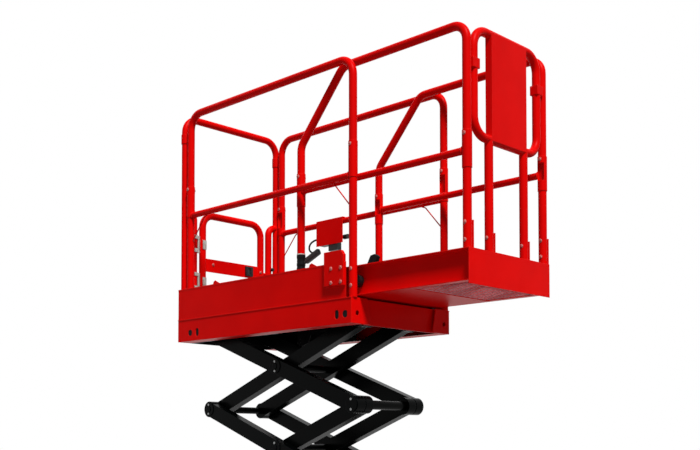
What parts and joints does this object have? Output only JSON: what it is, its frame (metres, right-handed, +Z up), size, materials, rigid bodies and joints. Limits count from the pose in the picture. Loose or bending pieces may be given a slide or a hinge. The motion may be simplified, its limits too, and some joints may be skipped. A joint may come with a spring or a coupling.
{
  "type": "scissor lift",
  "caption": "Compact electric scissor lift: wheeled chassis, crossed-arm stack, railed platform with a rear gate and a roll-out deck.",
  "frame": {"origin": "on the floor under the middle of the whole length with the deck rolled out", "axes": "+X towards the roll-out deck, +Y to the machine's left, +Z up"},
  "size_m": [2.008, 0.76, 3.202],
  "materials": {
    "red_paint": "glossy red powder coat",
    "black_paint": "satin black powder coat",
    "grey_paint": "satin dark grey powder coat",
    "steel": "zinc plated or machined steel",
    "tyre": "solid rubber tyre",
    "rubber": "moulded black rubber",
    "hub": "light grey wheel paint",
    "battery_case": "moulded battery cases",
    "black_plastic": "moulded black plastic"
  },
  "bodies": {
    "chassis": {"chassis_frame": "red_paint", "scissor_mounts": "black_paint", "ladder": "red_paint"},
    "battery_side": {"battery_tray": "grey_paint", "batteries": "battery_case"},
    "hydraulic_side": {"hydraulic_tray": "grey_paint"},
    "guard_left": {"guard_left": "black_paint"},
    "guard_right": {"guard_right": "black_paint"},
    "knuckle_left": {"knuckle_left": "black_paint"},
    "knuckle_right": {"knuckle_right": "black_paint"},
    "tie_rod": {"tie_rod": "black_paint"},
    "front_left_wheel": {"front_left_tyre": "tyre", "front_left_hub": "hub"},
    "front_right_wheel": {"front_right_tyre": "tyre", "front_right_hub": "hub"},
    "rear_left_wheel": {"rear_left_tyre": "tyre", "rear_left_hub": "hub"},
    "rear_right_wheel": {"rear_right_tyre": "tyre", "rear_right_hub": "hub"},
    "outer_1": {"outer_arms_1": "black_paint"},
    "inner_1": {"inner_arms_1": "black_paint"},
    "outer_2": {"outer_arms_2": "black_paint"},
    "inner_2": {"inner_arms_2": "black_paint"},
    "outer_3": {"outer_arms_3": "black_paint"},
    "inner_3": {"inner_arms_3": "black_paint"},
    "outer_4": {"outer_arms_4": "black_paint"},
    "inner_4": {"inner_arms_4": "black_paint"},
    "barrel": {"cylinder_barrel": "black_paint"},
    "rod": {"cylinder_rod": "steel"},
    "platform": {"deck_frame": "red_paint", "deck_floor": "red_paint", "slide_strips": "black_plastic", "toe_boards": "red_paint", "side_rail_left": "red_paint", "side_rail_right": "red_paint", "rear_rail": "red_paint", "control_hanger": "red_paint", "control_box": "black_plastic", "control_lead": "rubber"},
    "gate": {"gate": "red_paint"},
    "extension": {"extension_deck": "red_paint", "extension_mesh": "red_paint", "latch_grip": "rubber", "extension_toe": "red_paint", "extension_rail_left": "red_paint", "extension_rail_right": "red_paint", "front_rail": "red_paint"}
  },
  "joints": [
    {"name": "lift", "type": "hinge", "parent": "chassis", "child": "outer_1", "pos_m": [0.279, 0, 0.4], "axis": [0, 1, 0], "range_deg": [-15.2, 41.5]},
    {"name": "stage_1_middle", "type": "hinge", "parent": "outer_1", "child": "inner_1", "pos_m": [-0.24579, 0, 0.6025], "axis": [0, 1, 0], "range_deg": [-83.05, 30.45]},
    {"name": "stage_2_foot", "type": "hinge", "parent": "inner_1", "child": "outer_2", "pos_m": [0.279, 0, 0.805], "axis": [0, 1, 0], "range_deg": [-30.45, 83.05]},
    {"name": "stage_2_middle", "type": "hinge", "parent": "outer_2", "child": "inner_2", "pos_m": [-0.24579, 0, 1.0075], "axis": [0, 1, 0], "range_deg": [-83.05, 30.45]},
    {"name": "stage_3_foot", "type": "hinge", "parent": "inner_2", "child": "outer_3", "pos_m": [0.279, 0, 1.21], "axis": [0, 1, 0], "range_deg": [-30.45, 83.05]},
    {"name": "stage_3_middle", "type": "hinge", "parent": "outer_3", "child": "inner_3", "pos_m": [-0.24579, 0, 1.4125], "axis": [0, 1, 0], "range_deg": [-83.05, 30.45]},
    {"name": "stage_4_foot", "type": "hinge", "parent": "inner_3", "child": "outer_4", "pos_m": [0.279, 0, 1.615], "axis": [0, 1, 0], "range_deg": [-30.45, 83.05]},
    {"name": "stage_4_middle", "type": "hinge", "parent": "outer_4", "child": "inner_4", "pos_m": [-0.24579, 0, 1.8175], "axis": [0, 1, 0], "range_deg": [-83.05, 30.45]},
    {"name": "platform_pivot", "type": "hinge", "parent": "inner_4", "child": "platform", "pos_m": [0.279, 0, 2.02], "axis": [0, 1, 0], "range_deg": [-15.25, 41.55]},
    {"name": "cylinder_foot", "type": "hinge", "parent": "inner_1", "child": "barrel", "pos_m": [-0.22419, 0, 0.54652], "axis": [0, 1, 0], "range_deg": [-25.81, 70.37]},
    {"name": "cylinder_stroke", "type": "slide", "parent": "barrel", "child": "rod", "axis": [-0.7905, 0, 0.6125], "range_m": [-0.0649, 0.1762]},
    {"name": "deck_slide", "type": "slide", "parent": "platform", "child": "extension", "axis": [1, 0, 0], "range_m": [-0.6, 0]},
    {"name": "gate_hinge", "type": "hinge", "parent": "platform", "child": "gate", "pos_m": [-0.867, -0.238, 2.409], "axis": [0, 0, -1], "range_deg": [0, 85]},
    {"name": "steer_left", "type": "hinge", "parent": "chassis", "child": "knuckle_left", "pos_m": [0.269, 0.25, 0.252], "axis": [0, 0, 1], "range_deg": [-60, 60]},
    {"name": "steer_right", "type": "hinge", "parent": "chassis", "child": "knuckle_right", "pos_m": [0.269, -0.25, 0.252], "axis": [0, 0, 1], "range_deg": [-60.05, 60.05]},
    {"name": "tie_rod_pivot", "type": "hinge", "parent": "knuckle_left", "child": "tie_rod", "pos_m": [0.179, 0.25, 0.206], "axis": [0, 0, 1], "range_deg": [-60.05, 60.05]},
    {"name": "front_left_spin", "type": "hinge", "parent": "knuckle_left", "child": "front_left_wheel", "pos_m": [0.269, 0.34, 0.115], "axis": [0, 1, 0], "continuous": true},
    {"name": "front_right_spin", "type": "hinge", "parent": "knuckle_right", "child": "front_right_wheel", "pos_m": [0.269, -0.34, 0.115], "axis": [0, 1, 0], "continuous": true},
    {"name": "rear_left_spin", "type": "hinge", "parent": "chassis", "child": "rear_left_wheel", "pos_m": [-0.791, 0.34, 0.115], "axis": [0, 1, 0], "continuous": true},
    {"name": "rear_right_spin", "type": "hinge", "parent": "chassis", "child": "rear_right_wheel", "pos_m": [-0.791, -0.34, 0.115], "axis": [0, 1, 0], "continuous": true},
    {"name": "battery_tray_hinge", "type": "hinge", "parent": "chassis", "child": "battery_side", "pos_m": [-0.606, -0.364, 0.173], "axis": [0, 0, -1], "range_deg": [0, 85]},
    {"name": "hydraulic_tray_hinge", "type": "hinge", "parent": "chassis", "child": "hydraulic_side", "pos_m": [-0.606, 0.364, 0.173], "axis": [0, 0, 1], "range_deg": [0, 85]},
    {"name": "guard_left_hinge", "type": "hinge", "parent": "chassis", "child": "guard_left", "pos_m": [-0.251, 0.236, 0.074], "axis": [-1, 0, 0], "range_deg": [0, 85]},
    {"name": "guard_right_hinge", "type": "hinge", "parent": "chassis", "child": "guard_right", "pos_m": [-0.251, -0.236, 0.074], "axis": [1, 0, 0], "range_deg": [0, 85]}
  ],
  "couplings": [
    {"joint": "stage_1_middle", "follows": "lift", "ratio": -2},
    {"joint": "stage_2_foot", "follows": "lift", "ratio": 2},
    {"joint": "stage_2_middle", "follows": "lift", "ratio": -2},
    {"joint": "stage_3_foot", "follows": "lift", "ratio": 2},
    {"joint": "stage_3_middle", "follows": "lift", "ratio": -2},
    {"joint": "stage_4_foot", "follows": "lift", "ratio": 2},
    {"joint": "stage_4_middle", "follows": "lift", "ratio": -2},
    {"joint": "platform_pivot", "follows": "lift", "ratio": 1},
    {"joint": "cylinder_foot", "follows": "lift", "ratio": 1.6945},
    {"joint": "cylinder_stroke", "follows": "lift", "m_per_rad": 0.24262},
    {"joint": "steer_right", "follows": "steer_left", "ratio": 1},
    {"joint": "tie_rod_pivot", "follows": "steer_left", "ratio": -1}
  ]
}
